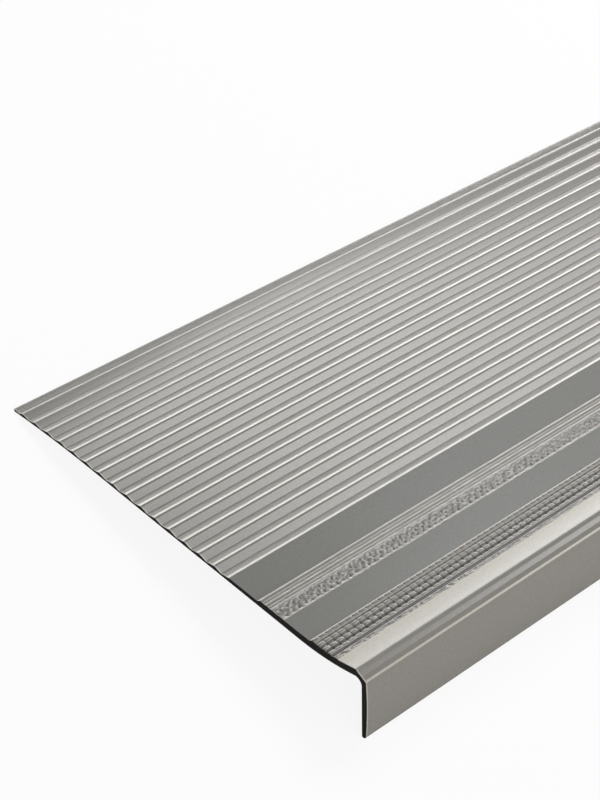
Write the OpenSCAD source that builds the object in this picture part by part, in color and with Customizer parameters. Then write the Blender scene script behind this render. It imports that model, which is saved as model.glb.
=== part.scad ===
// Moulded vinyl stair tread: a thin ribbed sheet with two grip strips and a turned-down nose.
// It is one piece of flexible vinyl with the same section along its whole length.
// Lengths are in millimetres and angles in degrees.
//
// The section is drawn flat first, as u, the distance behind the top of the front face,
// and t, the height above the underside. It is then bent up at the nose and down at the back.

/* [Overall] */
// Length of the tread, along the edge of the stair
tread_l = 610; // [200:1:1220]
// Depth of the tread, from the top of the front face to the back edge
tread_d = 234.1; // [170:0.1:320]

/* [Sheet] */
// Thickness of the nose and of the smooth band between the grip strips
nose_t = 3.4; // [2.8:0.1:5]
// Thickness of the smooth band behind the rear strip, and of the first rib
field_t = 2.2; // [1.8:0.1:2.6]
// Thickness that the rib crests have come down to at the back edge
back_t = 1.7; // [1.5:0.1:2.5]

/* [Ribbed field] */
// Distance from the front to the back edge of the first crest
first_rib = 80.5; // [74:0.1:90]
// Distance from one rib to the next
rib_pitch = 9.8; // [8:0.1:14]
// Height of a crest above the hollow behind it
rib_h = 1.05; // [0.6:0.05:1.2]
// Width of the flat top of each crest
crest_w = 1.3; // [0.6:0.1:2]
// Width of the steeper lip along the back edge of each crest
lip_w = 1; // [0.5:0.1:1.5]
// Drop of the lip
lip_h = 0.3; // [0.2:0.02:0.5]
// Width of the whole slope behind each crest, down to the hollow
rib_back_w = 4.3; // [3:0.1:4.6]
// Width of the bottom of the hollow
hollow_w = 0.6; // [0.3:0.1:1]

/* [Grip strips] */
// Number of ridges in each grip strip
grip_ridges = 5; // [3:1:5]
// Depth of the grooves below the smooth band between the strips
groove_d = 0.6; // [0.3:0.05:1]
// Distance from the front to the back of the rear strip
rear_grip_at = 63.2; // [61:0.1:68]
// Width of the slope that rises to the first rear ridge
rear_lead_w = 2; // [1.2:0.1:2.5]
// Distance from one ridge of the rear strip to the next
rear_pitch = 3.35; // [3.1:0.05:3.6]
// Width of the top of a rear ridge
rear_top_w = 0.6; // [0.3:0.05:0.8]
// Width of each side of a rear ridge
rear_side_w = 0.9; // [0.5:0.05:1.1]
// How far the rear ridges stand above the smooth band in front of them
rear_proud = 0.1; // [0:0.05:0.5]
// Distance from the front to the back of the front strip
front_grip_at = 31.9; // [30:0.1:36]
// Width of the slope that rises to the first front ridge
front_lead_w = 2.35; // [1.2:0.05:2.5]
// Distance from one ridge of the front strip to the next
front_pitch = 3.2; // [3.1:0.05:3.6]
// Width of the top of a front ridge
front_top_w = 0.5; // [0.3:0.05:0.6]
// Width of each side of a front ridge
front_side_w = 1.15; // [0.8:0.05:1.2]
// How far the first ridge of the front strip stands above the smooth band behind it
front_proud = 1; // [0.5:0.05:1.2]
// How far the last ridge of the front strip stands above the nose
front_end_proud = 0.15; // [0.1:0.05:0.5]

/* [Nose] */
// Distance from the front to where the sheet starts to sweep up
sweep_at = 38.3; // [34:0.1:60]
// Radius of the underside where the sheet sweeps up to the nose
sweep_r = 112; // [90:1:200]
// Distance of the ridge on top of the nose behind the front, before it is bent
ridge_at = 3.9; // [3:0.1:5]
// Radius of the inside corner that sits over the edge of the stair
inner_r = 3; // [2:0.25:4]
// Drop of the bevel below the ridge
upper_bevel = 1.25; // [0.8:0.05:1.5]
// Drop of the bevel above the lower bead
lower_bevel = 0.65; // [0.3:0.05:0.8]
// Height of the top of the front face above the flat underside
face_top_h = 5.4; // [4.5:0.1:5.8]

/* [Flange] */
// Height of the flange below the flat underside
flange_h = 25.2; // [15:0.1:45]
// Thickness of the flange where it leaves the nose
flange_t = 2.4; // [2:0.1:3.6]
// Thickness of the flange at its foot
foot_t = 2.2; // [1.8:0.1:3]
// Angle by which the flange turns in under the tread
flange_lean = 0.3; // [0:0.1:4]
// How far the front face bulges between its top and its foot
face_bulge = 0.55; // [0.1:0.05:1]
// Radius of the front corner of the foot
foot_r = 1.8; // [0.4:0.1:2]

/* [Back edge] */
// Width of the rim along the back edge, behind the last hollow
rim_w = 4.4; // [3.5:0.1:8]
// How far the top of the rim stays below the crests
rim_drop = 0.3; // [0.2:0.05:0.6]
// Width of the strip along the back edge that curls down
curl_w = 63.8; // [20:0.1:80]
// Radius of the curl
curl_r = 700; // [400:10:3000]

/* [Hidden] */

// Steps in each small rounded edge, in the inside corner and the foot, and in each long curve
EDGE_STEPS = 3;
CORNER_STEPS = 8;
CURVE_STEPS = 12;
// Radius along the edges of the ribs, of the ridges and of the nose
RIB_EDGE_R = 0.6;
RIDGE_EDGE_R = 0.15;
NOSE_EDGE_R = 0.35;
// Share of the flatter part of the nose front that lies between its two bevels
UPPER_LAND_SHARE = 0.66;
// Largest share of the foot that its rounded corner takes
FOOT_ROUND_SHARE = 0.85;
// Where the underside starts behind the flange, in radii of the inside corner
LEAD_SHARE = 1.8;
// Least distance between the lip of the last rib and the last hollow
EDGE_CLEAR = 0.5;
// Height of the lowest point of the front face above the foot, in radii of its corner
FACE_END_SHARE = 1.1;

curl_at = tread_d - curl_w;
rib_count = floor((tread_d - rim_w - lip_w - EDGE_CLEAR - first_rib) / rib_pitch) + 1;

// Bends a point of the flat section: up ahead of sweep_at, and down behind curl_at
function bent(u, t) =
    u < sweep_at ? swept(t, (sweep_at - u) / sweep_r * 180 / PI)
    : u > curl_at ? curled(t, (u - curl_at) / curl_r * 180 / PI)
    : [u, t];
function swept(t, a) = [sweep_at - (sweep_r - t) * sin(a), sweep_r - (sweep_r - t) * cos(a)];
function curled(t, a) = [curl_at + (curl_r + t) * sin(a), (curl_r + t) * cos(a) - curl_r];

// Value that runs evenly from a at u = a_at to b at u = b_at
function run(u, a_at, a, b_at, b) = a + (b - a) * (u - a_at) / (b_at - a_at);

// One corner of an outline, rounded with radius r: the arc that touches both of its sides
function rounded(before, corner, after, r, steps) =
    let (
        a = (before - corner) / norm(before - corner),
        b = (after - corner) / norm(after - corner),
        half = acos(a * b) / 2,
        centre = corner + (a + b) / norm(a + b) * r / sin(half),
        start = corner + a * r / tan(half) - centre,
        end = corner + b * r / tan(half) - centre,
        sweep = atan2(start.x * end.y - start.y * end.x, start * end)
    )
    [for (i = [0 : steps])
        let (turn = sweep * i / steps)
        centre + [start.x * cos(turn) - start.y * sin(turn), start.x * sin(turn) + start.y * cos(turn)]];

// Rounds the inner corners of a line of points, and keeps its two ends
function eased(points, r) =
    let (last = len(points) - 1)
    [
        points[0],
        for (i = [1 : last - 1])
            each rounded(points[i - 1], points[i], points[i + 1], r, EDGE_STEPS),
        points[last]
    ];

// Height of the rib crests above the underside
function crest_t(u) = run(u, first_rib, field_t, tread_d, back_t);

// One rib, as distances behind the back edge of its crest and depths below it:
// the lip, the slope to the hollow, the hollow, and the slope up to the next crest
rib = [
    [0, 0],
    [lip_w, lip_h],
    [rib_back_w, rib_h],
    [rib_back_w + hollow_w, rib_h],
    [rib_pitch - crest_w, 0],
    [rib_pitch, 0]
];
// The last rib has only its crest and its lip, and slopes down to the hollow before the rim
ribs = [
    for (i = [rib_count - 1 : -1 : 0], k = [i == rib_count - 1 ? 1 : len(rib) - 2 : -1 : 0])
        let (u = first_rib + i * rib_pitch + rib[k].x)
        [u, crest_t(u) - rib[k].y]
];
rim_t = crest_t(tread_d) - rim_drop;
rim_at = tread_d - rim_w;
rim = [[tread_d, rim_t], [tread_d - crest_w, rim_t], [rim_at, crest_t(rim_at) - rib_h]];

// Ridges and grooves of a grip strip from back to front. It rises over lead_w from a sheet of
// thickness behind_t, and ends on one of thickness nose_t
function strip(back, lead_w, pitch, top_w, side_w, behind_t, first_proud, last_proud) =
    let (last = grip_ridges - 1, groove_t = nose_t - groove_d)
    [
        [back, behind_t],
        for (i = [0 : last])
            let (u = back - lead_w - i * pitch, top_t = nose_t + run(i, 0, first_proud, last, last_proud))
            each [
                if (i > 0) [u + side_w, groove_t],
                [u, top_t],
                [u - top_w, top_t],
                [u - top_w - side_w, i == last ? nose_t : groove_t]
            ]
    ];
strips = [
    each strip(rear_grip_at, rear_lead_w, rear_pitch, rear_top_w, rear_side_w,
        field_t, rear_proud, rear_proud),
    each strip(front_grip_at, front_lead_w, front_pitch, front_top_w, front_side_w,
        nose_t, front_proud, front_end_proud)
];
strips_end = strips[len(strips) - 1].x;

// The top of the sheet from the back edge to the ridge of the nose, still flat
band = [(first_rib + rear_grip_at) / 2, field_t];
top_line = [
    each eased([each rim, each ribs, band], RIB_EDGE_R),
    each eased([band, each strips, [run(1, 0, strips_end, CURVE_STEPS, ridge_at), nose_t]], RIDGE_EDGE_R),
    for (i = [2 : CURVE_STEPS - 1]) [run(i, 0, strips_end, CURVE_STEPS, ridge_at), nose_t]
];
top_bent = [for (p = top_line) bent(p.x, p.y)];

// Front of the nose below the ridge: bevel, land, bevel, land, and the top of the front face
ridge = bent(ridge_at, nose_t);
face_top = [0, face_top_h];
lands = face_top - ridge + (upper_bevel + lower_bevel) * [1, 1];
land_start = ridge - upper_bevel * [1, 1];
land_end = land_start + UPPER_LAND_SHARE * lands;
bead_start = land_end - lower_bevel * [1, 1];

// The foot of the flange, and its front face as an arc that bulges forward
foot_inner = [flange_t + flange_h * tan(flange_lean), -flange_h];
foot_outer = foot_inner - [foot_t, 0];
foot_round = min(foot_r, FOOT_ROUND_SHARE * foot_t);
face_chord = norm(face_top - foot_outer);
face_r = (face_chord * face_chord / 4 + face_bulge * face_bulge) / (2 * face_bulge);
face_half = asin(face_chord / 2 / face_r);
face_dir = (foot_outer - face_top) / face_chord;
face_centre = (face_top + foot_outer) / 2 + (face_r - face_bulge) * [-face_dir.y, face_dir.x];
face = [
    for (i = [1 : CURVE_STEPS - 1])
        let (
            a = face_half * (2 * i / CURVE_STEPS - 1),
            p = face_centre + face_r * (sin(a) * face_dir + cos(a) * [face_dir.y, -face_dir.x])
        )
        if (p.y > foot_outer.y + FACE_END_SHARE * foot_round) p
];
nose_line = eased(
    [top_bent[len(top_bent) - 1], ridge, land_start, land_end, bead_start, face_top, face[0]],
    NOSE_EDGE_R);
foot = rounded(face[len(face) - 1], foot_outer, foot_inner, foot_round, CORNER_STEPS);

// The underside: up the flange, round the inside corner, and back along the sweep and the curl
lead_at = flange_t + LEAD_SHARE * inner_r;
lead = bent(lead_at, 0);
lead_slope = tan((sweep_at - lead_at) / sweep_r * 180 / PI);
corner_h = (lead.y + (lead.x - flange_t) * lead_slope) / (1 - tan(flange_lean) * lead_slope);
corner = [flange_t - corner_h * tan(flange_lean), corner_h];
inner_corner = rounded(foot_inner, corner, lead, inner_r, CORNER_STEPS);
sweep_under = [for (i = [0 : CURVE_STEPS]) bent(run(i, 0, lead_at, CURVE_STEPS, sweep_at), 0)];
curl_under = [for (i = [0 : CURVE_STEPS]) bent(run(i, 0, curl_at, CURVE_STEPS, tread_d), 0)];

// Each line but the first starts after the point that it shares with the line before it
section = [
    each top_bent,
    for (i = [1 : len(nose_line) - 2]) nose_line[i],
    each face,
    each foot,
    foot_inner,
    each inner_corner,
    each sweep_under,
    each curl_under
];

// Laid down, the tread rests on the inner corner of its foot and on its back edge
back_low = bent(tread_d, 0);
rest_tilt = atan2(back_low.y - foot_inner.y, back_low.x - foot_inner.x);
function laid(p) = [p.x * cos(rest_tilt) + p.y * sin(rest_tilt), p.y * cos(rest_tilt) - p.x * sin(rest_tilt)];
laid_section = [for (p = section) laid(p)];
front_y = min([for (p = laid_section) p.x]);
back_y = max([for (p = laid_section) p.x]);
floor_z = min([for (p = laid_section) p.y]);

// The moulded tread, lying nose forward on a level floor
module tread() {
    color("#8b8982")
        translate([-tread_l / 2, -(front_y + back_y) / 2, -floor_z])
            rotate([-rest_tilt, 0, 0])
                rotate([90, 0, 90])
                    linear_extrude(height = tread_l)
                        polygon(section);
}

tread();
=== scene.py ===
"""Looks of the moulded vinyl stair tread: its ribbed sheet, two embossed grip strips and studio."""

import logging
import math
from dataclasses import dataclass, field
from enum import Enum

import bpy
import numpy as np
from mathutils import Matrix, Vector


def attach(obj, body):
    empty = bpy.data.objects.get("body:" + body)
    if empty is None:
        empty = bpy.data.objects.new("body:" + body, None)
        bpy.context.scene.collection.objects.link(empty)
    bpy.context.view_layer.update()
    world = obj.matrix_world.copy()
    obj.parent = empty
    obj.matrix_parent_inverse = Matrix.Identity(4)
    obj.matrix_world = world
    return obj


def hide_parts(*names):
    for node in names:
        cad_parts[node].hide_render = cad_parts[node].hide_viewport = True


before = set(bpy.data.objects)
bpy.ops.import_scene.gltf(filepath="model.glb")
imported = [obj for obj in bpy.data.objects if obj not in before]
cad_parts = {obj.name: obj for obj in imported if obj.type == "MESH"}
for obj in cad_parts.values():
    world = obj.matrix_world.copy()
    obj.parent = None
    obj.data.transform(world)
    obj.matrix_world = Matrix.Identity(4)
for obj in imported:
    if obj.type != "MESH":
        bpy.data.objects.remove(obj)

LOG = logging.getLogger("stair_tread")
MM = 0.001
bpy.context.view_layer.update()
# Distance over which a wave texture of scale 1 repeats, in metres
WAVE_REPEAT = 0.314
WHITE = (1, 1, 1, 1)

Shares = dict[str, np.ndarray]
Pressed = tuple[np.ndarray, np.ndarray, np.ndarray]


def linear(hex_colour: str) -> tuple[float, float, float, float]:
    """Turns an sRGB hex colour to linear light, by the two-part curve of the sRGB standard.

    Args:
        hex_colour: the colour as #rrggbb.

    Returns:
        Red, green and blue from 0 to 1, and an alpha of 1.
    """
    channels = [int(hex_colour[i : i + 2], 16) / 255 for i in (1, 3, 5)]
    light = [c / 12.92 if c <= 0.04045 else ((c + 0.055) / 1.055) ** 2.4 for c in channels]
    return (*light, 1.0)


def placed(name: str, data: bpy.types.ID) -> bpy.types.Object:
    """Makes an object and puts it into the scene.

    Args:
        name: the object's name.
        data: its mesh, lamp or camera.

    Returns:
        The object.
    """
    thing = bpy.data.objects.new(name, data)
    bpy.context.scene.collection.objects.link(thing)
    return thing


def blank(holder: bpy.types.ID) -> bpy.types.ID:
    """Empties the node tree of a new material or world.

    Args:
        holder: the material or world.

    Returns:
        The same holder.
    """
    holder.use_nodes = True
    holder.node_tree.nodes.clear()
    return holder


def add_node(
    material_or_world: bpy.types.ID, kind: str, settings: dict | None = None, **links: object
) -> bpy.types.Node:
    """Adds one shader node with its settings, values and links.

    Args:
        material_or_world: what holds the node tree.
        kind: the node's type name without its ShaderNode prefix.
        settings: properties of the node, and values of its inputs by name or number.
        **links: an input's name, with _ for a space, or i and its number, and what feeds it:
            an output socket, or a node for its first output.

    Returns:
        The new node.
    """
    tree = material_or_world.node_tree
    node = tree.nodes.new("ShaderNode" + kind)
    for name, value in (settings or {}).items():
        if isinstance(name, str) and hasattr(node, name):
            setattr(node, name, value)
        else:
            node.inputs[name].default_value = value
    for name, source in links.items():
        key = int(name[1:]) if name[1:].isdigit() else name.replace("_", " ")
        socket = source.outputs[0] if isinstance(source, bpy.types.Node) else source
        tree.links.new(socket, node.inputs[key])
    return node


@dataclass(frozen=True)
class SmoothNoise:
    """Smooth noise from -1 to 1.

    Random values stand on a square lattice, and each point takes the blend of the four values
    round it, weighted by 3s^2 - 2s^3 of its place s between them.
    """

    # Spacing of the lattice, in millimetres, and start of the random values
    grain: float
    seed: int
    # How much closer the lattice stands across X, and how far it slants along X
    squeeze: float = 1.0
    slant: float = 0.0
    # Cells along each side, after which the lattice repeats
    cells: int = 256

    def over(self, x: np.ndarray, u: np.ndarray) -> np.ndarray:
        """The noise at each point.

        Args:
            x: places along X.
            u: distances across X, of the same shape.

        Returns:
            The noise.
        """
        lattice = np.random.default_rng(self.seed).uniform(-1, 1, (self.cells, self.cells))
        gx, gy = (x - self.slant * u) / self.grain, u * self.squeeze / self.grain
        ix, iy = np.floor(gx).astype(int), np.floor(gy).astype(int)
        sx, sy = gx - ix, gy - iy
        sx, sy = sx * sx * (3 - 2 * sx), sy * sy * (3 - 2 * sy)
        here, right = ix % self.cells, (ix + 1) % self.cells
        low, high = iy % self.cells, (iy + 1) % self.cells
        near = lattice[here, low] * (1 - sx) + lattice[right, low] * sx
        far = lattice[here, high] * (1 - sx) + lattice[right, high] * sx
        return near * (1 - sy) + far * sy


def carried(loops: np.ndarray, along: np.ndarray) -> tuple[np.ndarray, np.ndarray, list]:
    """Carries a closed section along X: one loop of (y, z) points stands at each place along X.

    Args:
        loops: places by points by 2, each loop going round the solid on its left.
        along: the place of each loop along X.

    Returns:
        The vertices, the four-sided faces, and the two end faces, all facing outwards.
    """
    places, points = loops.shape[:2]
    x = np.broadcast_to(along[:, None, None], (places, points, 1))
    vertices = np.concatenate([x, loops], axis=2).reshape(-1, 3)
    number = np.arange(places * points).reshape(places, points)
    following = np.roll(number, -1, axis=1)
    corners = [number[:-1], following[:-1], following[1:], number[1:]]
    quads = np.stack(corners, axis=2).reshape(-1, 4)
    return vertices, quads, [number[0][::-1], number[-1]]


@dataclass(frozen=True)
class Fade:
    """A share from 0 to 1 that runs straight between the places where it is given."""

    places: tuple[float, ...]
    shares: tuple[float, ...]

    def over(self, distance: np.ndarray) -> np.ndarray:
        """The share at each distance."""
        return np.interp(distance, self.places, self.shares)


@dataclass(frozen=True)
class GripForm:
    """The plain ridges of one grip strip, in millimetres, before a pattern is pressed in.

    Each tuple holds one value for each ridge, from back to front. Painted highlight and
    painted shade are shares from 0 to 1.
    """

    # Back and front of the strip, as distances behind the top of the front face
    back: float
    front: float
    # Width of the rise behind the first ridge, and spacing of the ridges
    lead_w: float
    pitch: float
    # Width of each flat top, and its height over the nose
    top_w: tuple[float, ...]
    proud: tuple[float, ...]
    # Thickness of the sheet behind the strip, and depth of the grooves
    behind_t: float
    groove_d: float
    # Painted highlight on each top's edges, painted shade on each top, and painted shade in the
    # groove in front of it
    highlit: tuple[float, ...]
    top_shade: tuple[float, ...]
    groove_shade: tuple[float, ...]
    # Widths of the gentle rise behind a top and of the drop in front of it, and edge radius
    back_w: float = 1.0
    front_w: float = 0.3
    edge_r: float = 0.12
    # Width over which the painted highlight fades behind a top, and width of its highlit edges
    fade_w: float = 0.1
    highlight_w: float = 0.35
    # Shares of a top's painted highlight in its middle and on its front edge, and of its painted
    # shade in front
    middle_highlight: float = 0.2
    front_highlight: float = 0.8
    front_shade: float = 0.6

    @property
    def tops(self) -> np.ndarray:
        """Distance of the back edge of each ridge's top."""
        return self.back - self.lead_w - self.pitch * np.arange(len(self.proud))

    def line(self, nose_t: float) -> np.ndarray:
        """The ridges and grooves from back to front, as corners of the flat section.

        Each ridge rises gently behind, has a flat top, and drops steeply in front to a floor
        groove_d below the next top. The first one rises from the band behind the strip, and
        the last one ends on the strip's front.

        Args:
            nose_t: thickness of the sheet that the strip ends on.

        Returns:
            Corner points as (u, t).
        """
        level = nose_t + np.array(self.proud)
        floor = np.append(level[1:], nose_t + self.groove_d) - self.groove_d
        points = [(self.back, self.behind_t)]
        for top, width, t, foot in zip(self.tops, self.top_w, level, floor):
            end = top - width
            points += [(top, t), (end, t), (end - self.front_w, foot)]
            points.append((top - self.pitch + self.back_w, foot))
        points[-3:] = [(self.front + self.front_w, level[-1]), (self.front, nose_t)]
        return np.array(points)

    def share(self, u: np.ndarray, values: list) -> np.ndarray:
        """Spreads a share over the ridges: the same seven places on each, straight between.

        Args:
            u: distances behind the front.
            values: the share at each of the seven places, for each ridge or for all.

        Returns:
            The share at each distance.
        """
        width = np.array(self.top_w)
        even = np.zeros_like(width)
        behind = [even + self.back_w, even + self.fade_w, even, even - self.highlight_w]
        offsets = [*behind, self.highlight_w - width, -width, -width - self.front_w]
        at = self.tops[:, None] + np.stack(offsets, axis=1)
        shares = np.stack([value + even for value in values], axis=1)
        return np.interp(-u, -at.ravel(), shares.ravel())

    def highlight_share(self, u: np.ndarray) -> np.ndarray:
        """Painted highlight at each place: the two edges of every top, and little between them.

        Args:
            u: distances behind the front.

        Returns:
            The painted highlight at each distance.
        """
        edge = np.array(self.highlit)
        foot = np.append(edge[0], 0 * edge[1:])
        middle = self.middle_highlight * edge
        return self.share(u, [foot, edge, edge, middle, middle, self.front_highlight * edge, 0.0])

    def dust(self, u: np.ndarray) -> np.ndarray:
        """Painted shade at each place: the floors of the grooves, and some on each top.

        Args:
            u: distances behind the front.

        Returns:
            The painted shade at each distance.
        """
        top, floor = np.array(self.top_shade), np.array(self.groove_shade)
        foot = np.append(0.0, floor[:-1])
        return self.share(u, [foot, 0.0, 0.0, top, self.front_shade * top, 0.0, floor])


REAR_FORM = GripForm(
    back=62.9,
    front=46.4,
    lead_w=1.85,
    pitch=3.35,
    top_w=(1.7, 1.7, 6.8),
    proud=(0.1, 0.1, 0.1),
    behind_t=2.2,
    groove_d=0.25,
    highlit=(0.6, 0.6, 0.6),
    top_shade=(0.35, 0.35, 0.3),
    groove_shade=(0.35, 0.3, 0.0),
)
FRONT_FORM = GripForm(
    back=31.7,
    front=14.7,
    lead_w=1.6,
    pitch=3.3,
    top_w=(1.95, 1.4, 1.4, 1.4, 1.6),
    proud=(1.0, 0.79, 0.58, 0.36, 0.1),
    behind_t=3.4,
    groove_d=0.35,
    highlit=(0.65, 0.4, 0.45, 0.65, 0.5),
    top_shade=(0.35, 0.2, 0.2, 0.3, 0.45),
    groove_shade=(0.4, 0.6, 1.0, 0.95, 0.0),
)


@dataclass(frozen=True)
class Waves:
    """The slight waves, in millimetres, that the loose sheet has when nobody holds it.

    The height is swell times two sines along X, times the square of a half sine across the
    sheet, which is zero at the nose and at the back edge, where the tread touches the floor.
    """

    swell: float = 0.35
    start_y: float = -80.0
    width: float = 190.0
    long_mm: float = 37.0
    long_share: float = 0.6
    long_shift: float = 0.6
    short_mm: float = 23.0
    short_share: float = 0.25
    slant_mm: float = 60.0

    def raised(self, vertices: np.ndarray) -> np.ndarray:
        """Raises points of the sheet by the waves.

        Args:
            vertices: points in millimetres, in the shared frame.

        Returns:
            The raised points.
        """
        x, y = vertices[:, 0], vertices[:, 1]
        across = np.sin(np.pi * np.clip((y - self.start_y) / self.width, 0, 1)) ** 2
        wave = np.sin(x / self.long_mm + self.long_shift) * self.long_share
        wave = wave + np.sin(x / self.short_mm + y / self.slant_mm) * self.short_share
        raised = vertices.copy()
        raised[:, 2] += self.swell * across * wave
        return raised


@dataclass(frozen=True)
class TreadSection:
    """The section of the tread, in millimetres, as the mould gives it.

    It is drawn flat, as u, the distance behind the top of the front face, and t, the height
    above the underside, and then bent up at the nose and down at the back.
    """

    length: float = 610.0
    depth: float = 234.1
    nose_t: float = 3.4
    field_t: float = 2.2
    back_t: float = 1.7
    first_rib: float = 80.5
    rib_pitch: float = 9.8
    rib_h: float = 1.05
    crest_w: float = 1.3
    lip_w: float = 1.0
    lip_h: float = 0.3
    rib_back_w: float = 4.3
    hollow_w: float = 0.6
    rib_edge_r: float = 0.6
    rim_w: float = 4.4
    rim_drop: float = 0.3
    # Smallest width left between the last rib's lip and the rim
    edge_clear: float = 0.5
    sweep_at: float = 38.3
    sweep_r: float = 112.0
    ridge_at: float = 3.9
    inner_r: float = 3.0
    lead_share: float = 1.8
    upper_bevel: float = 1.05
    lower_bevel: tuple[float, float] = (1.55, 0.95)
    land_share: float = 0.72
    edge_r: float = 0.35
    land_r: float = 1.1
    face_top_h: float = 5.4
    flange_h: float = 25.2
    flange_t: float = 2.4
    foot_t: float = 2.2
    flange_lean: float = 0.3
    face_bulge: float = 0.55
    foot_r: float = 1.8
    # Height of the foot's rounding that the face leaves free, in foot radii
    foot_share: float = 1.1
    curl_w: float = 63.8
    curl_r: float = 700.0
    recess: float = 1.25
    rear: GripForm = REAR_FORM
    front: GripForm = FRONT_FORM
    # Steps along the arcs and the bulged face, and points along the other runs
    edge_steps: int = 4
    bevel_steps: int = 6
    foot_steps: int = 10
    inner_steps: int = 12
    face_steps: int = 24
    nose_points: int = 12
    recess_points: int = 6
    under_points: tuple[int, int, int] = (14, 12, 14)
    # Shares across each rib, by the distance behind the back edge of its crest: grain, painted
    # highlight on the crest and lip, and painted shade ahead of the crest and in the hollow
    grained: Fade = Fade((1.3, 1.6, 4.1, 4.3), (0, 1, 1, 0))
    highlit: Fade = Fade((-0.35, -0.1, 1.25, 1.5), (0, 0.8, 0.8, 0))
    shaded: Fade = Fade((-0.4, -0.35, 4.0, 4.3, 5.0, 5.2), (1, 0, 0, 1, 1, 0))
    # Extra points on each rib, where the shares above turn
    marks: tuple[float, ...] = (-0.4, -0.35, -0.1, 1.25, 1.5, 4.0, 5.2)
    # Distance ahead of the first crest where the ribs' finish starts, and most painted shade on a
    # rib
    finish_lead: float = 0.4
    rib_shade: float = 0.2
    # How far ahead of a crest its own distances start
    rib_lead: float = 2.0
    # Painted highlight of the nose at the front strip and at the ridge, and of the lip over the
    # flange
    nose_highlight: tuple[float, float] = (1.0, 0.5)
    lip_highlight: float = 0.65
    # Points of the underside next to the foot that keep the face's lighter grey of painted light
    painted_light_under: int = 2

    def bent(self, u: np.ndarray, t: np.ndarray) -> np.ndarray:
        """Bends points of the flat section.

        Ahead of sweep_at a point turns about a centre sweep_r above the underside, and behind
        curl_at about one curl_r below it, by the angle that its distance gives on the underside.

        Args:
            u: distances behind the front.
            t: heights above the underside.

        Returns:
            Points as (y, z), still with the flat part level.
        """
        u, t = np.asarray(u, float), np.asarray(t, float)
        up = np.maximum(self.sweep_at - u, 0) / self.sweep_r
        down = np.maximum(u - self.curl_at, 0) / self.curl_r
        y = np.clip(u, self.sweep_at, self.curl_at) - (self.sweep_r - t) * np.sin(up)
        y = y + (self.curl_r + t) * np.sin(down)
        rise = self.sweep_r - (self.sweep_r - t) * np.cos(up)
        drop = (self.curl_r + t) * np.cos(down) - self.curl_r
        z = np.where(u < self.sweep_at, rise, np.where(u > self.curl_at, drop, t))
        return np.stack([y, z], axis=-1)

    @property
    def curl_at(self) -> float:
        """Distance where the curl of the back edge starts."""
        return self.depth - self.curl_w

    def crest_t(self, u: np.ndarray) -> np.ndarray:
        """Height of the rib crests, which runs evenly from field_t down to back_t."""
        share = (np.asarray(u) - self.first_rib) / (self.depth - self.first_rib)
        return self.field_t + (self.back_t - self.field_t) * share

    def ribs(self) -> np.ndarray:
        """The ribbed top from the back edge to the smooth band.

        Each rib repeats the same corners behind the back edge of its crest: the lip, the slope
        to the hollow, the hollow, and the slope up to the next crest. The last rib has only its
        crest and its lip, and behind its hollow the back edge has a low flat rim.

        Returns:
            Points as (u, t).
        """
        hollow_end = self.rib_back_w + self.hollow_w
        rise_end = self.rib_pitch - self.crest_w
        offset = np.array([0, self.lip_w, self.rib_back_w, hollow_end, rise_end])
        depth = np.array([0, self.lip_h, self.rib_h, self.rib_h, 0])
        room = self.depth - self.rim_w - self.lip_w - self.edge_clear - self.first_rib
        count = math.floor(room / self.rib_pitch) + 1
        crests = self.first_rib + self.rib_pitch * np.arange(count)[:, None]
        u = (crests + offset).ravel()[: 2 - len(offset)]
        t = self.crest_t(u) - np.tile(depth, count)[: len(u)]
        rim_at, rim_t = self.depth - self.rim_w, float(self.crest_t(self.depth)) - self.rim_drop
        rim_foot = float(self.crest_t(rim_at)) - self.rib_h
        rim = [(self.depth, rim_t), (self.depth - self.crest_w, rim_t), (rim_at, rim_foot)]
        band = ((self.first_rib + self.rear.back) / 2, self.field_t)
        corners = np.array([*rim, *zip(u[::-1], t[::-1]), band])
        line = self.eased(corners, self.rib_edge_r, self.edge_steps)[::-1]
        more = crests + np.array(self.marks)
        more = more[(more > line[0, 0]) & (more < self.depth)]
        u = np.union1d(line[:, 0], more.ravel())
        return np.stack([u, np.interp(u, *line.T)], axis=1)[::-1]

    def eased(self, corners: np.ndarray, r: float | tuple[float, ...], steps: int) -> np.ndarray:
        """Rounds the inner corners of a line, and keeps its two ends.

        Args:
            corners: the corners of the line.
            r: radius of the rounded corners, or one radius for each.
            steps: steps along each arc.

        Returns:
            The points of the line.
        """
        radii = np.broadcast_to(r, len(corners) - 2)
        arcs = [self.rounded(*corners[i : i + 3], radii[i], steps) for i in range(len(radii))]
        return np.concatenate([corners[:1], *arcs, corners[-1:]])

    @staticmethod
    def rounded(
        before: np.ndarray, corner: np.ndarray, after: np.ndarray, r: float, steps: int
    ) -> np.ndarray:
        """Rounds one corner with the arc of radius r that touches both of its sides.

        Args:
            before: the point before the corner.
            corner: the corner.
            after: the point after it.
            r: radius of the arc.
            steps: number of steps along the arc.

        Returns:
            The points of the arc.
        """
        a = (before - corner) / np.linalg.norm(before - corner)
        b = (after - corner) / np.linalg.norm(after - corner)
        half = math.acos(float(np.clip(a @ b, -1, 1))) / 2
        centre = corner + (a + b) / np.linalg.norm(a + b) * r / math.sin(half)
        start = corner + a * r / math.tan(half) - centre
        end = corner + b * r / math.tan(half) - centre
        sweep = math.atan2(start[0] * end[1] - start[1] * end[0], start @ end)
        turn = sweep * np.linspace(0, 1, steps + 1)
        x = start[0] * np.cos(turn) - start[1] * np.sin(turn)
        y = start[0] * np.sin(turn) + start[1] * np.cos(turn)
        return centre + np.stack([x, y], axis=1)

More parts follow.
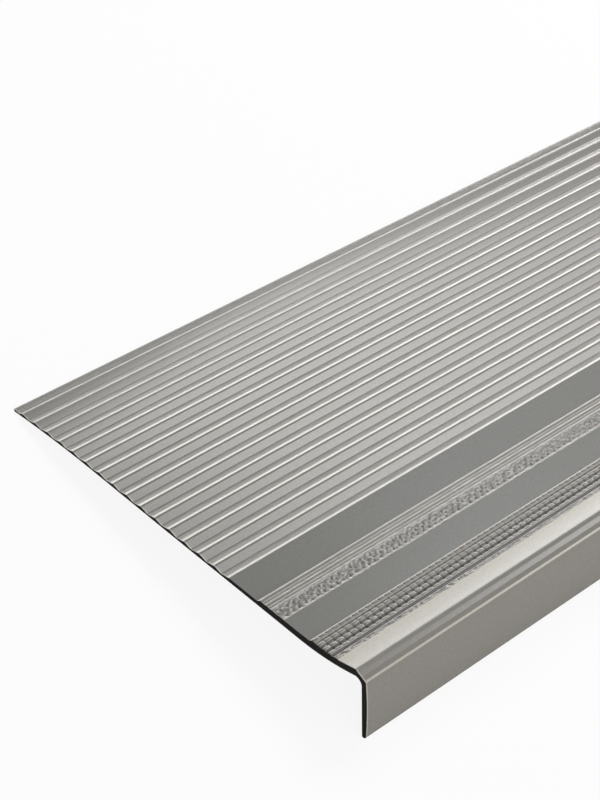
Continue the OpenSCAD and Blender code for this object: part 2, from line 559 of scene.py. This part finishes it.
    def nose_front(self, before: np.ndarray) -> np.ndarray:
        """The front of the nose: ridge, bevel, land, bevel, land, bulged face and foot.

        The face is an arc that stands face_bulge out from its chord at the middle.

        Args:
            before: the last point of the nose's top.

        Returns:
            Points as (y, z) down to the rounded front corner of the foot.
        """
        ridge = self.bent(self.ridge_at, self.nose_t)
        face_top = np.array([0.0, self.face_top_h])
        lands = face_top - ridge + self.upper_bevel + np.array(self.lower_bevel)
        land_start = ridge - self.upper_bevel
        land_end = land_start + self.land_share * lands
        bead_start = land_end - np.array(self.lower_bevel)
        outer = self.foot_inner - np.array([self.foot_t, 0])
        chord = float(np.linalg.norm(face_top - outer))
        radius = (chord**2 / 4 + self.face_bulge**2) / (2 * self.face_bulge)
        along = (outer - face_top) / chord
        out = np.array([along[1], -along[0]])
        centre = (face_top + outer) / 2 + (radius - self.face_bulge) * -out
        turn = math.asin(chord / 2 / radius)
        a = turn * np.linspace(-1, 1, self.face_steps + 1)[1:-1, None]
        face = centre + radius * (np.sin(a) * along + np.cos(a) * out)
        face = face[face[:, 1] > outer[1] + self.foot_share * self.foot_r]
        line = np.array([before, ridge, land_start, land_end, bead_start, face_top, face[0]])
        foot = self.rounded(face[-1], outer, self.foot_inner, self.foot_r, self.foot_steps)
        radii = (self.edge_r, self.land_r, self.land_r, self.edge_r, self.edge_r)
        return np.concatenate([self.eased(line, radii, self.bevel_steps)[1:-1], face, foot])

    @property
    def lip(self) -> slice:
        """Points of nose_front along the lip over the flange: most of its last two arcs."""
        arc = self.bevel_steps + 1
        return slice(3 * arc + 2, 5 * arc - 2)

    @property
    def foot_inner(self) -> np.ndarray:
        """The inner corner of the flange's foot."""
        lean = math.tan(math.radians(self.flange_lean))
        return np.array([self.flange_t + self.flange_h * lean, -self.flange_h])

    def underside(self) -> np.ndarray:
        """The underside: up the flange, round the inside corner, along the sweep to the back.

        Returns:
            Points as (y, z) from the inner corner of the foot to the back edge.
        """
        lead_at = self.flange_t + self.lead_share * self.inner_r
        lead = self.bent(lead_at, 0)
        lean = math.tan(math.radians(self.flange_lean))
        slope = math.tan((self.sweep_at - lead_at) / self.sweep_r)
        height = (lead[1] + (lead[0] - self.flange_t) * slope) / (1 - lean * slope)
        corner = np.array([self.flange_t - height * lean, height])
        inside = self.rounded(self.foot_inner, corner, lead, self.inner_r, self.inner_steps)
        sweep, flat, curl = self.under_points
        u = np.concatenate([
            np.linspace(lead_at, self.sweep_at, sweep),
            np.linspace(self.sweep_at, self.curl_at, flat)[1:],
            np.linspace(self.curl_at, self.depth, curl)[1:],
        ])
        return np.concatenate([self.foot_inner[None], inside, self.bent(u, 0 * u)])

    def recess_floor(self, form: GripForm) -> np.ndarray:
        """The floor under a grip strip's relief, from its back to its front."""
        u = np.linspace(form.back, form.front, self.recess_points)
        return np.stack([u, np.full_like(u, self.nose_t - self.recess)], axis=1)

    def recessed(self, form: GripForm) -> np.ndarray:
        """The sheet's top at a grip strip: down behind it, along the floor, and up in front."""
        start, end = (form.back, form.behind_t), (form.front, self.nose_t)
        return np.array([start, *self.recess_floor(form), end])

    def outline(self) -> tuple[np.ndarray, Shares]:
        """The whole closed outline of the sheet, with a recess for each grip strip's relief.

        Returns:
            Points as (y, z), and the shares of fine grain (texture), of the lighter grey of
            painted light (painted_light), of painted highlight (painted_highlight) and of painted
            shade (painted_shade) at each point.
        """
        ribs = self.ribs()
        nose_u = np.linspace(self.front.front, self.ridge_at, self.nose_points)[1:-1]
        nose = [(u, self.nose_t) for u in nose_u]
        strips = [self.recessed(self.rear), self.recessed(self.front)]
        top = np.concatenate([ribs, *strips, nose])
        top = self.bent(top[:, 0], top[:, 1])
        nose_front = self.nose_front(top[-1])
        outline = np.concatenate([top, nose_front, self.underside()])
        texture, painted_light, painted_highlight, painted_shade = np.zeros((4, len(outline)))
        behind = (ribs[:, 0] - self.first_rib + self.rib_lead) % self.rib_pitch - self.rib_lead
        ribbed = ribs[:, 0] > self.first_rib - self.finish_lead
        texture[: len(ribs)] = self.grained.over(behind)
        # Painted highlight on each rib's crest and lip, painted shade ahead of its crest and in its
        # hollow, and the lighter grey of painted light over the ribs
        painted_highlight[: len(ribs)] = ribbed * self.highlit.over(behind)
        painted_shade[: len(ribs)] = self.rib_shade * ribbed * self.shaded.over(behind)
        painted_light[: len(ribs)] = ribbed
        # The nose band takes the lighter grey of painted light, and a painted highlight that is
        # brightest beside the front strip and less towards its ridge
        band = slice(len(top) - len(nose) - 1, len(top))
        painted_light[band], painted_highlight[band] = 1, np.linspace(*self.nose_highlight, len(nose) + 1)
        # The nose's front face and flange take the lighter grey of painted light, and the lip over
        # the flange a painted highlight
        painted_light[len(top) : len(top) + len(nose_front) + self.painted_light_under] = 1
        painted_highlight[len(top) :][self.lip] = self.lip_highlight
        return outline, {"texture": texture, "painted_light": painted_light, "painted_highlight": painted_highlight, "painted_shade": painted_shade}

    def laid(self, points: np.ndarray) -> np.ndarray:
        """Lays bent points down on the floor, turned so that foot and back edge touch it.

        Args:
            points: any array of (y, z) points of the bent section.

        Returns:
            The same points in the shared frame, in millimetres.
        """
        back_low = self.bent(self.depth, 0)
        tilt = math.atan2(*(back_low - self.foot_inner)[::-1])
        c, s = math.cos(tilt), math.sin(tilt)

        def turned(p: np.ndarray) -> np.ndarray:
            """Turns points by the tilt."""
            return np.stack([p[..., 0] * c + p[..., 1] * s, p[..., 1] * c - p[..., 0] * s], -1)

        outline = turned(self.outline()[0])
        low, high = outline.min(axis=0), outline.max(axis=0)
        return turned(points) - np.array([(low[0] + high[0]) / 2, low[1]])


@dataclass(frozen=True)
class MouldedVinyl:
    """Flexible grey vinyl, moulded: an even matt grey with a soft gloss from the mould.

    The mould leaves a fine grain on the ribs, which spreads their highlights, and polishes the
    smooth bands. The ribs, nose, flange and grip strips take a lighter, warmer grey than the
    bands, which is painted light; painted highlights pale the crests, lips, nose, rims and strip
    edges, and painted shade darkens the hollows, grooves, cuts and pits.
    """

    name: str = "vinyl_moulded"
    band: str = "#666561"
    shade: str = "#63635f"
    # Lighter, warmer grey of the same vinyl: painted light on the ribs, nose, flange and grip
    # strips, while the smooth bands keep the darker greys above
    ribs: str = "#73706a"
    # Painted highlight: pale grey on crests, lips, nose, cut-end rims and grip strip edges
    painted_highlight: str = "#bab5a9"
    # Painted shade: dark grey in rib hollows, on strip tops, and in grooves, cuts and pits
    painted_shade: str = "#242220"
    ior: float = 1.53
    roughness: float = 0.27
    # How much rougher the vinyl is where it is grained
    grain_roughness: float = 0.08
    # Widths of the slow patches, the specks, the mould grain and the stitch
    patch_mm: float = 45
    speck_mm: float = 0.9
    grain_mm: float = 0.7
    stitch_mm: float = 0.56
    # Share of the grain in the relief, the relief's height, and its strength
    grain_share: float = 0.35
    relief_mm: float = 0.12
    relief_strength: float = 0.8

    def build(self) -> bpy.types.Material:
        """Makes the node material.

        Returns:
            The material, for every moulded face of the tread.
        """
        material = blank(bpy.data.materials.new(self.name))
        place = add_node(material, "TexCoord").outputs["Object"]
        texture = add_node(material, "Attribute", {"attribute_name": "texture"}).outputs["Fac"]
        # Slow patches a few centimetres wide, where the pigment and the cooling vary
        slow = {"Scale": 1 / (self.patch_mm * MM), "Detail": 3.0}
        patches = add_node(material, "TexNoise", slow, Vector=place)
        span = {1: 0.35, 2: 0.65, 3: 0.0, 4: 1.0}
        tone = add_node(material, "MapRange", span, Value=patches)
        greys = {"data_type": "RGBA", 6: linear(self.band), 7: linear(self.shade)}
        colour = add_node(material, "Mix", greys, i0=tone)
        # Painted light: the lighter grey of ribs, nose, flange and strips, the painted highlights,
        # and the painted shade in hollows, grooves and cuts
        for share, hex_colour in (("painted_light", self.ribs), ("painted_highlight", self.painted_highlight), ("painted_shade", self.painted_shade)):
            amount = add_node(material, "Attribute", {"attribute_name": share}).outputs["Fac"]
            tint = {"data_type": "RGBA", 7: linear(hex_colour)}
            colour = add_node(material, "Mix", tint, i0=amount, i6=colour.outputs[2])
        # Specks of filler, about a millimetre wide, barely lighter or darker than the vinyl
        fine = {"Scale": 1 / (self.speck_mm * MM), "Detail": 2.0}
        specks = add_node(material, "TexNoise", fine, Vector=place)
        span = {1: 0.3, 2: 0.7, 3: 0.93, 4: 1.07}
        fleck = add_node(material, "MapRange", span, Value=specks)
        scaled = {"operation": "SCALE"}
        flecked = add_node(material, "VectorMath", scaled, i0=colour.outputs[2], i3=fleck)
        # Mould grain, and the fine cross stitch on the slope behind each crest
        grainy = {"Scale": 1 / (self.grain_mm * MM), "Detail": 3.0}
        noise = add_node(material, "TexNoise", grainy, Vector=place)
        times = {"operation": "MULTIPLY"}
        grain = add_node(material, "Math", times, i0=noise, i1=texture)
        scale = WAVE_REPEAT / (self.stitch_mm * MM)
        wave = {"bands_direction": "X", "Scale": scale, "Distortion": 0.6, "Detail": 1.0}
        stitch = add_node(material, "TexWave", wave, Vector=place)
        pressed = add_node(material, "Math", times, i0=stitch.outputs["Fac"], i1=texture)
        summed = {"operation": "MULTIPLY_ADD", 1: self.grain_share}
        height = add_node(material, "Math", summed, i0=grain, i2=pressed)
        relief = {"Strength": self.relief_strength, "Distance": self.relief_mm * MM}
        bump = add_node(material, "Bump", relief, Height=height)
        rougher = {"operation": "MULTIPLY_ADD", 1: self.grain_roughness, 2: self.roughness}
        coarse = add_node(material, "Math", rougher, i0=texture)
        shader = add_node(
            material,
            "BsdfPrincipled",
            {"IOR": self.ior},
            Base_Color=flecked,
            Roughness=coarse,
            Normal=bump,
        )
        add_node(material, "OutputMaterial", Surface=shader)
        return material


@dataclass(frozen=True)
class CutVinyl:
    """Vinyl cut across by a blade, with little gloss, painted near black as painted shade on the
    end faces.
    """

    name: str = "vinyl_cut_end"
    # Painted shade: near black greys on the grey vinyl's cut ends, which stand in shadow
    colour: str = "#1f1e1c"
    drag: str = "#131210"
    ior: float = 1.5
    roughness: float = 0.8
    gloss: float = 0.15
    drag_mm: float = 1.1
    relief_mm: float = 0.1
    relief_strength: float = 0.4

    def build(self) -> bpy.types.Material:
        """Makes the node material.

        Returns:
            The material, for the two cut ends.
        """
        material = blank(bpy.data.materials.new(self.name))
        place = add_node(material, "TexCoord").outputs["Object"]
        # Drag marks of the blade, about a millimetre apart
        marks = {"Scale": 1 / (self.drag_mm * MM), "Detail": 3.0}
        lines = add_node(material, "TexNoise", marks, Vector=place)
        blacks = {"data_type": "RGBA", 6: linear(self.colour), 7: linear(self.drag)}
        colour = add_node(material, "Mix", blacks, i0=lines)
        relief = {"Strength": self.relief_strength, "Distance": self.relief_mm * MM}
        bump = add_node(material, "Bump", relief, Height=lines)
        shader = add_node(
            material,
            "BsdfPrincipled",
            {"Roughness": self.roughness, "IOR": self.ior, "Specular IOR Level": self.gloss},
            Base_Color=colour.outputs[2],
            Normal=bump,
        )
        add_node(material, "OutputMaterial", Surface=shader)
        return material


@dataclass
class VinylPiece:
    """A closed solid of the tread that is carried along its length."""

    section: TreadSection
    name: str
    sharp_above: float = 34.0
    waves: Waves = Waves()
    piece: bpy.types.Object | None = field(default=None, init=False)

    def loops(self, along: np.ndarray) -> tuple[np.ndarray, Shares]:
        """Gives the closed section at each place along X, and the shares of its points.

        Args:
            along: places along X.

        Returns:
            The loops, and the shares of grain, painted light, painted highlight and painted shade
            of each point.
        """
        raise NotImplementedError

    def places(self) -> np.ndarray:
        """Places along X where the section is worked out."""
        raise NotImplementedError

    def build(self) -> None:
        """Makes the mesh in the shared frame, with its shares and its two finishes."""
        along = self.places()
        loops, shares = self.loops(along)
        vertices, quads, ends = carried(self.section.laid(loops), along)
        vertices = self.waves.raised(vertices) * MM
        mesh = bpy.data.meshes.new(self.name)
        mesh.from_pydata(vertices.tolist(), [], quads.tolist() + [end.tolist() for end in ends])
        for name, values in shares.items():
            values = np.broadcast_to(values, loops.shape[:2]).ravel().astype(np.float32)
            mesh.attributes.new(name, "FLOAT", "POINT").data.foreach_set("value", values)
        # The last two faces are the cut ends
        finish = np.zeros(len(mesh.polygons), np.int32)
        finish[-2:] = 1
        for vinyl in (MouldedVinyl(), CutVinyl()):
            mesh.materials.append(bpy.data.materials.get(vinyl.name) or vinyl.build())
        mesh.polygons.foreach_set("material_index", finish)
        mesh.update()
        mesh.shade_smooth()
        mesh.set_sharp_from_angle(angle=math.radians(self.sharp_above))
        self.piece = placed(self.name, mesh)
        LOG.info("%s: %d vertices, %d faces", self.name, len(mesh.vertices), len(mesh.polygons))

    def dress(self) -> None:
        """Says what the piece rides on and what it stands for."""
        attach(self.piece, "root")
        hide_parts("tread")


@dataclass
class RibbedSheet(VinylPiece):
    """The sheet with its ribs, smooth bands, nose and turned-down flange."""

    name: str = "ribbed_sheet"
    columns: int = 96
    # Width of the painted highlight along the rim at each cut end, of its fade, and its strength on
    # the nose and flange
    rim_mm: float = 0.45
    fade_mm: float = 0.15
    rim_highlight: float = 0.55
    # Height over the top of the flange's face up to which the rim takes the painted highlight
    rim_rise: float = 3.0

    def places(self) -> np.ndarray:
        """Evenly spaced places from one cut end to the other, and closer ones at the ends."""
        inner = np.linspace(-0.5, 0.5, self.columns + 1)[1:-1] * self.section.length
        end = self.section.length / 2 - np.array([0, self.rim_mm, self.rim_mm + self.fade_mm])
        return np.concatenate([-end, inner, end[::-1]])

    def loops(self, along: np.ndarray) -> tuple[np.ndarray, Shares]:
        """The same outline at every place, since the mould gives one section.

        Args:
            along: places along X.

        Returns:
            The loops, and the shares of grain, painted light, painted highlight and painted shade
            of each point.
        """
        outline, shares = self.section.outline()
        shares = {name: np.tile(values, (len(along), 1)) for name, values in shares.items()}
        # Painted highlight along the rim of each cut end, on the lighter grey parts up to rim_rise
        # over the top of the flange's face
        low = outline[:, 1] < self.section.face_top_h + self.rim_rise
        highlit = (shares["painted_light"][0] > 0) & low
        for row in (0, 1, -2, -1):
            painted_highlight = shares["painted_highlight"][row]
            painted_highlight[highlit] = np.maximum(painted_highlight[highlit], self.rim_highlight)
        return np.broadcast_to(outline, (len(along), *outline.shape)).copy(), shares


@dataclass(frozen=True)
class PitRow:
    """One row of pits along X: its place, widths, shift and depth in millimetres, and painted
    shade.
    """

    middle: float
    half_x: float
    half_u: float
    shift: float = 0.0
    depth: float = 0.0
    dust: float = 0.0


@dataclass(frozen=True)
class Pattern:
    """What a roller presses into a grip strip again and again along X, in millimetres."""

    # Length of the pattern, and the place of one first cut or pit
    repeat: float
    start: float
    # Places of the mesh's columns in every repeat
    offsets: tuple[float, ...]
    # How soon a cut or pit is at its full depth, along X and across
    steep_x: float = 2.2
    steep_u: float = 1.3
    # Smallest distance of a column from the cut end
    end_clear: float = 0.1
    # Rough ground: pebbles, and a share of finer grit on them
    pebble: SmoothNoise = SmoothNoise(0.8, 11, squeeze=1.1)
    grit: SmoothNoise = SmoothNoise(0.45, 12)
    grit_share: float = 0.5

    def places(self, end: float) -> np.ndarray:
        """Places along X: the same offsets in every repeat, and the two cut ends.

        Args:
            end: the place of the cut end at +X.

        Returns:
            The places in order.
        """
        first = math.floor((-end - self.start) / self.repeat)
        last = math.ceil((end - self.start) / self.repeat)
        middles = self.start + self.repeat * np.arange(first, last + 1)[:, None]
        x = (middles + np.array(self.offsets)).ravel()
        return np.concatenate([[-end], x[np.abs(x) < end - self.end_clear], [end]])

    def beside(self, x: np.ndarray, half: float, shift: float = 0.0) -> np.ndarray:
        """Share of a cut's full depth: steep_x times the part of half that is left, up to 1.

        Args:
            x: places along X.
            half: half width of the cut.
            shift: how far the cut stands from the start of the repeat.

        Returns:
            The share at each place.
        """
        middle = self.repeat / 2
        away = np.abs((x - self.start - shift + middle) % self.repeat - middle)
        return np.clip(self.steep_x * (1 - away / half), 0, 1)

    def pits(self, x: np.ndarray, u: np.ndarray, row: PitRow) -> np.ndarray:
        """Share of the full depth of a row of pits, which fade across as they do along X.

        Args:
            x: places along X.
            u: distances behind the front, of the same shape.
            row: the row of pits.

        Returns:
            The share at each point.
        """
        across = np.clip(self.steep_u * (1 - np.abs(u - row.middle) / row.half_u), 0, 1)
        return self.beside(x, row.half_x, row.shift) * across

    def pebbled(self, x: np.ndarray, u: np.ndarray) -> np.ndarray:
        """Rough ground at each point: the pebbles, and a share of the grit on them."""
        return self.pebble.over(x, u) + self.grit_share * self.grit.over(x, u)

    def pressed(self, form: GripForm, x: np.ndarray, u: np.ndarray) -> Pressed:
        """What the roller presses into the ridges.

        Args:
            form: the plain ridges.
            x: places along X.
            u: distances behind the front, of the same shape.

        Returns:
            Heights to add, painted highlight and painted shade.
        """
        raise NotImplementedError


@dataclass(frozen=True)
class BlockPattern(Pattern):
    """Cuts that part the middle ridges into blocks.

    A cut crosses the second, third and fourth ridge in every repeat, and the first ridge has a
    pit in its back edge there. Noise roughens all of it a little, and the last ridge more.
    """

    repeat: float = 3.36
    start: float = 0.7
    offsets: tuple[float, ...] = (-0.48, -0.26, 0.26, 0.48, 1.1, 1.7, 2.3)
    cut_half: float = 0.48
    # Start and end of each ridge's cut, counted forwards from the back edge of its top
    cut_reach: tuple[float, float] = (-0.6, 1.5)
    # Depth of the cut at the back and the front of each ridge, and painted shade for each
    # millimetre
    cut_depth: tuple[float, ...] = (0, 0, 0.1, 0.1, 0.15, 0.15, 0.18, 0, 0, 0)
    cut_shade: float = 3.0
    # The pit: distance in front of the first top's back edge, half width, depth and painted shade
    pit_in: float = 0.4
    pit_half: float = 0.45
    pit_depth: float = 0.35
    pit_shade: float = 0.8
    # Height of the pebbles on every ridge and on the last one, and its painted highlight
    ground: float = 0.04
    rough: float = 0.26
    rough_highlight: float = 0.4
    # Widths over which the last ridge's roughness sets in and ends
    rough_in: float = 0.3
    rough_out: float = 0.4

    def pressed(self, form: GripForm, x: np.ndarray, u: np.ndarray) -> Pressed:
        """Heights, painted highlight and painted shade of the cuts, the pits and the rough last
        ridge.

        Args:
            form: the plain ridges.
            x: places along X.
            u: distances behind the front, of the same shape.

        Returns:
            Heights to add, painted highlight and painted shade.
        """
        tops = form.tops
        pebbles = self.pebbled(x, u)
        cut = self.beside(x, self.cut_half)
        pit = self.pits(x, u, PitRow(tops[0] - self.pit_in, self.cut_half, self.pit_half))
        reach = -np.repeat(tops, 2) + np.tile(self.cut_reach, len(tops))
        depth = np.interp(-u, reach, self.cut_depth)
        last = np.clip((tops[-1] - u) / self.rough_in, 0, 1)
        last = last * np.clip((u - form.front) / self.rough_out, 0, 1)
        heights = self.ground * pebbles - depth * cut - self.pit_depth * pit
        heights = heights + self.rough * last * pebbles
        # Painted highlight on the pebbles of the last ridge, and painted shade in the cuts and pits
        highlight_share = self.rough_highlight * last * np.clip(pebbles, 0, 1)
        return heights, highlight_share, self.cut_shade * depth * cut + self.pit_shade * pit


@dataclass(frozen=True)
class PebblePattern(Pattern):
    """Rows of pits in a pebbled track.

    Two rows of small pits lie across the track in front of the third ridge's back edge, and a
    row of larger ones lies behind a raised edge at its front. Noise roughens all of it.
    """

    repeat: float = 3.28
    start: float = 2.4
    offsets: tuple[float, ...] = (-0.42, 0.0, 0.42, 0.78, 1.2, 1.62, 2.3)
    rows: tuple[PitRow, ...] = (
        PitRow(51.9, 0.55, 0.8, 0.0, 0.25, 0.4),
        PitRow(50.6, 0.55, 0.8, 1.2, 0.25, 0.4),
        PitRow(48.4, 0.6, 0.95, 0.0, 0.33, 0.5),
    )
    # The track: the ridge that it lies on, its distances from that ridge's back edge and from
    # the strip's front, and the widths over which it sets in and ends
    track_ridge: int = 2
    track_in: float = 0.5
    track_out: float = 0.2
    fade_in: float = 0.5
    fade_out: float = 0.4
    # Height of the pebbles on every ridge, of the strokes in the track, and its own depth
    ground: float = 0.03
    stroke_h: float = 0.15
    track_d: float = 0.1
    # Painted highlight on the high strokes of the track
    stroke_highlight: float = 0.15
    # The strokes, and the share of pebbles in them
    stroke: SmoothNoise = SmoothNoise(0.75, 13, squeeze=0.6, slant=0.5)
    stroke_pebbles: float = 0.5
    # The raised edge: middle, half width, steepness, height and painted highlight
    edge_at: float = 47.0
    edge_half: float = 0.5
    edge_steep: float = 1.4
    edge_h: float = 0.12
    edge_highlight: float = 0.65

    def pressed(self, form: GripForm, x: np.ndarray, u: np.ndarray) -> Pressed:
        """Heights, painted highlight and painted shade of the track, its pits and its raised edge.

        The strokes are noise that runs slanting across the track, with pebbles added.

        Args:
            form: the plain ridges.
            x: places along X.
            u: distances behind the front, of the same shape.

        Returns:
            Heights to add, painted highlight and painted shade.
        """
        pebbles = self.pebbled(x, u)
        ridge = form.tops[self.track_ridge]
        track = np.clip((ridge - self.track_in - u) / self.fade_in, 0, 1)
        track = track * np.clip((u - form.front - self.track_out) / self.fade_out, 0, 1)
        strokes = self.stroke.over(x, u) + self.stroke_pebbles * pebbles
        heights = self.ground * pebbles + track * (self.stroke_h * strokes - self.track_d)
        # Painted shade in the pits
        dust = np.zeros_like(heights)
        for row in self.rows:
            pits = self.pits(x, u, row)
            heights, dust = heights - row.depth * pits, dust + row.dust * pits
        away = np.abs(u - self.edge_at) / self.edge_half
        edge = np.clip(self.edge_steep * (1 - away), 0, 1)
        # Painted highlight on the raised edge and on the high strokes
        highlight_share = self.edge_highlight * edge + self.stroke_highlight * track * np.clip(strokes, 0, 1)
        return heights + self.edge_h * edge, highlight_share, dust


class Emboss(Enum):
    """The two patterns that the rollers press into the grip strips."""

    BLOCKS = BlockPattern()
    PEBBLES = PebblePattern()


@dataclass
class GripStrip(VinylPiece):
    """The relief of one grip strip: ridges with a pattern pressed across them.

    The places along X gather round the middle of every pit and cut, so that these stay crisp.
    """

    name: str = "grip_strip"
    emboss: Emboss = Emboss.BLOCKS
    # Spacing of the mesh's rows across the strip, and the least share of it beside a corner
    row_step: float = 0.36
    row_clear: float = 0.4
    # Width at the strip's back and front that keeps the plain height and finish
    border: float = 0.01
    sharp_above: float = 60.0

    @property
    def form(self) -> GripForm:
        """The plain ridges that the pattern is pressed into."""
        return self.section.front if self.emboss is Emboss.BLOCKS else self.section.rear

    def places(self) -> np.ndarray:
        """Places along X, as the pattern gives them."""
        return self.emboss.value.places(self.section.length / 2)

    def rows(self, corners: np.ndarray) -> np.ndarray:
        """Distances of the mesh's rows, from back to front: the corners, and even ones between.

        Args:
            corners: the corners of the ridges.

        Returns:
            The distances behind the front.
        """
        even = np.arange(self.form.front, self.form.back, self.row_step)
        gap = np.abs(even[:, None] - corners[None, :, 0]).min(axis=1)
        even = even[gap >= self.row_clear * self.row_step]
        return np.sort(np.concatenate([even, corners[:, 0]]))[::-1]

    def loops(self, along: np.ndarray) -> tuple[np.ndarray, Shares]:
        """The relief on top and the recess floor below, at every place along X.

        Args:
            along: places along X.

        Returns:
            The loops, and the shares of painted highlight, painted light and painted shade of each
            point.
        """
        section, form = self.section, self.form
        corners = section.eased(form.line(section.nose_t), form.edge_r, steps=1)
        rows = self.rows(corners)
        base = np.interp(rows, corners[::-1, 0], corners[::-1, 1])
        x, u = np.meshgrid(along, rows, indexing="ij")
        inner = (rows < form.back - self.border) & (rows > form.front + self.border)
        heights, painted_highlight, dust = self.emboss.value.pressed(form, x, u)
        top = section.bent(u, base + inner * heights)
        # Painted shade on the tops and in the grooves, cuts and pits; painted highlight on the
        # edges and pebbles, less where painted shade lies; and the lighter grey of painted light
        # over the whole relief
        dust = inner * np.clip(dust + form.dust(rows), 0, 1)
        painted_highlight = inner * np.clip(painted_highlight + form.highlight_share(rows), 0, 1) * (1 - dust)
        painted_light = inner * np.ones(painted_highlight.shape)
        # The front edge of the blocks takes the lighter grey of painted light and the painted
        # highlight of the nose beside it
        painted_highlight[:, -1] = painted_light[:, -1] = self.emboss is Emboss.BLOCKS
        floor = section.recess_floor(form)[::-1]
        below = section.bent(floor[:, 0], floor[:, 1])
        below = np.broadcast_to(below, (len(along), *below.shape))
        rest = ((0, 0), (0, len(floor)))
        shares = {"painted_highlight": np.pad(painted_highlight, rest), "painted_light": np.pad(painted_light, rest)}
        shares["painted_shade"] = np.pad(dust, rest)
        return np.concatenate([top, below], axis=1), shares


@dataclass(frozen=True)
class Softbox:
    """One large soft studio lamp that faces the tread, with its sizes in metres."""

    name: str
    azimuth: float
    elevation: float
    distance: float
    size: tuple[float, float]
    watts: float

    def build(self, target: Vector) -> bpy.types.Object:
        """Makes the lamp.

        Args:
            target: the point that it faces.

        Returns:
            The lamp.
        """
        lamp = bpy.data.lights.new(self.name, "AREA")
        lamp.shape = "RECTANGLE"
        lamp.size, lamp.size_y = self.size
        lamp.energy = self.watts
        a, e = math.radians(self.azimuth), math.radians(self.elevation)
        away = Vector((math.cos(e) * math.sin(a), math.cos(e) * math.cos(a), math.sin(e)))
        holder = placed(self.name, lamp)
        holder.location = target + away * self.distance
        holder.rotation_euler = away.to_track_quat("Z", "Y").to_euler()
        return holder


@dataclass(frozen=True)
class Studio:
    """A plain white studio: pale floor, white surround and soft lamps, in metres."""

    surround: float = 0.18
    floor_colour: str = "#f4f4f3"
    floor_glow: float = 0.9
    floor_half: float = 30.0
    target: tuple[float, float, float] = (0.0, 0.0, 0.02)
    lamps: tuple[Softbox, ...] = (
        Softbox("lamp_above", 66, 57, 1.7, (1.31, 0.66), 21.2),
        Softbox("lamp_behind", 34, 8, 3.0, (2.5, 0.82), 41),
        Softbox("lamp_front", -170, 18, 2.1, (2.0, 1.2), 35),
    )

    def build(self) -> None:
        """Makes the floor, the surround and the lamps."""
        half = self.floor_half
        corners = [(-half, -half, 0), (half, -half, 0), (half, half, 0), (-half, half, 0)]
        mesh = bpy.data.meshes.new("studio_floor")
        mesh.from_pydata(corners, [], [(0, 1, 2, 3)])
        mesh.materials.append(self.floor_material())
        placed("studio_floor", mesh)
        self.world()
        for lamp in self.lamps:
            lamp.build(Vector(self.target))

    def floor_material(self) -> bpy.types.Material:
        """A white floor that shows as the photo's white ground and keeps the tread's shadow.

        Returns:
            The material, whose glow only the camera sees.
        """
        material = blank(bpy.data.materials.new("studio_paper"))
        paper = add_node(material, "BsdfDiffuse", {"Color": linear(self.floor_colour)})
        glow = add_node(material, "Emission", {"Color": WHITE, "Strength": 1.0})
        seen = add_node(material, "LightPath").outputs["Is Camera Ray"]
        share = add_node(material, "Math", {"operation": "MULTIPLY", 1: self.floor_glow}, i0=seen)
        mixed = add_node(material, "MixShader", i0=share, i1=paper, i2=glow)
        add_node(material, "OutputMaterial", Surface=mixed)
        return material

    def world(self) -> None:
        """White where the camera or a reflection sees it, and soft grey light elsewhere."""
        world = blank(bpy.data.worlds.new("studio_surround"))
        bpy.context.scene.world = world
        path = add_node(world, "LightPath").outputs
        seen = path["Is Camera Ray"]
        for ray in ("Is Glossy Ray", "Is Transmission Ray"):
            seen = add_node(world, "Math", {"operation": "MAXIMUM"}, i0=seen, i1=path[ray])
        soft = add_node(world, "Background", {"Color": WHITE, "Strength": self.surround})
        white = add_node(world, "Background", {"Color": WHITE, "Strength": 1.0})
        mixed = add_node(world, "MixShader", i0=seen, i1=soft, i2=white)
        add_node(world, "OutputWorld", Surface=mixed)


@dataclass(frozen=True)
class PhotoCamera:
    """The camera, where the rib crests, the cut end and the flange of the photo put it."""

    place_mm: tuple[float, float, float] = (-614.05, -413.52, 546.05)
    right: tuple[float, float, float] = (0.760907, -0.647958, 0.034226)
    down: tuple[float, float, float] = (-0.410267, -0.521306, -0.748279)
    forward: tuple[float, float, float] = (0.502695, 0.555329, -0.662501)
    focal_px: float = 1818.78
    height_px: float = 800.0
    sensor_mm: float = 24.0
    clip_m: tuple[float, float] = (0.01, 100.0)

    def build(self) -> None:
        """Makes the camera and makes it the scene's own."""
        lens = bpy.data.cameras.new("photo_camera")
        lens.sensor_fit = "VERTICAL"
        lens.sensor_height = self.sensor_mm
        lens.lens = self.focal_px * self.sensor_mm / self.height_px
        lens.clip_start, lens.clip_end = self.clip_m
        camera = placed("photo_camera", lens)
        turn = Matrix((self.right, [-v for v in self.down], [-v for v in self.forward]))
        place = Matrix.Translation(Vector(self.place_mm) * MM)
        camera.matrix_world = place @ turn.transposed().to_4x4()
        bpy.context.scene.camera = camera


def grip_strips(section: TreadSection) -> tuple[GripStrip, GripStrip]:
    """The two grip strips of the tread, rear one first."""
    rear = GripStrip(section, "rear_grip", emboss=Emboss.PEBBLES)
    return rear, GripStrip(section, "front_grip", emboss=Emboss.BLOCKS)


def main() -> None:
    """Builds the tread, the studio and the camera."""
    logging.basicConfig(level=logging.INFO, format="%(name)s %(message)s")
    section = TreadSection()
    for part in (RibbedSheet(section), *grip_strips(section)):
        part.build()
        part.dress()
    PhotoCamera().build()
    Studio().build()
    bpy.context.scene.view_settings.view_transform = "Standard"


if __name__ == "__main__":
    main()
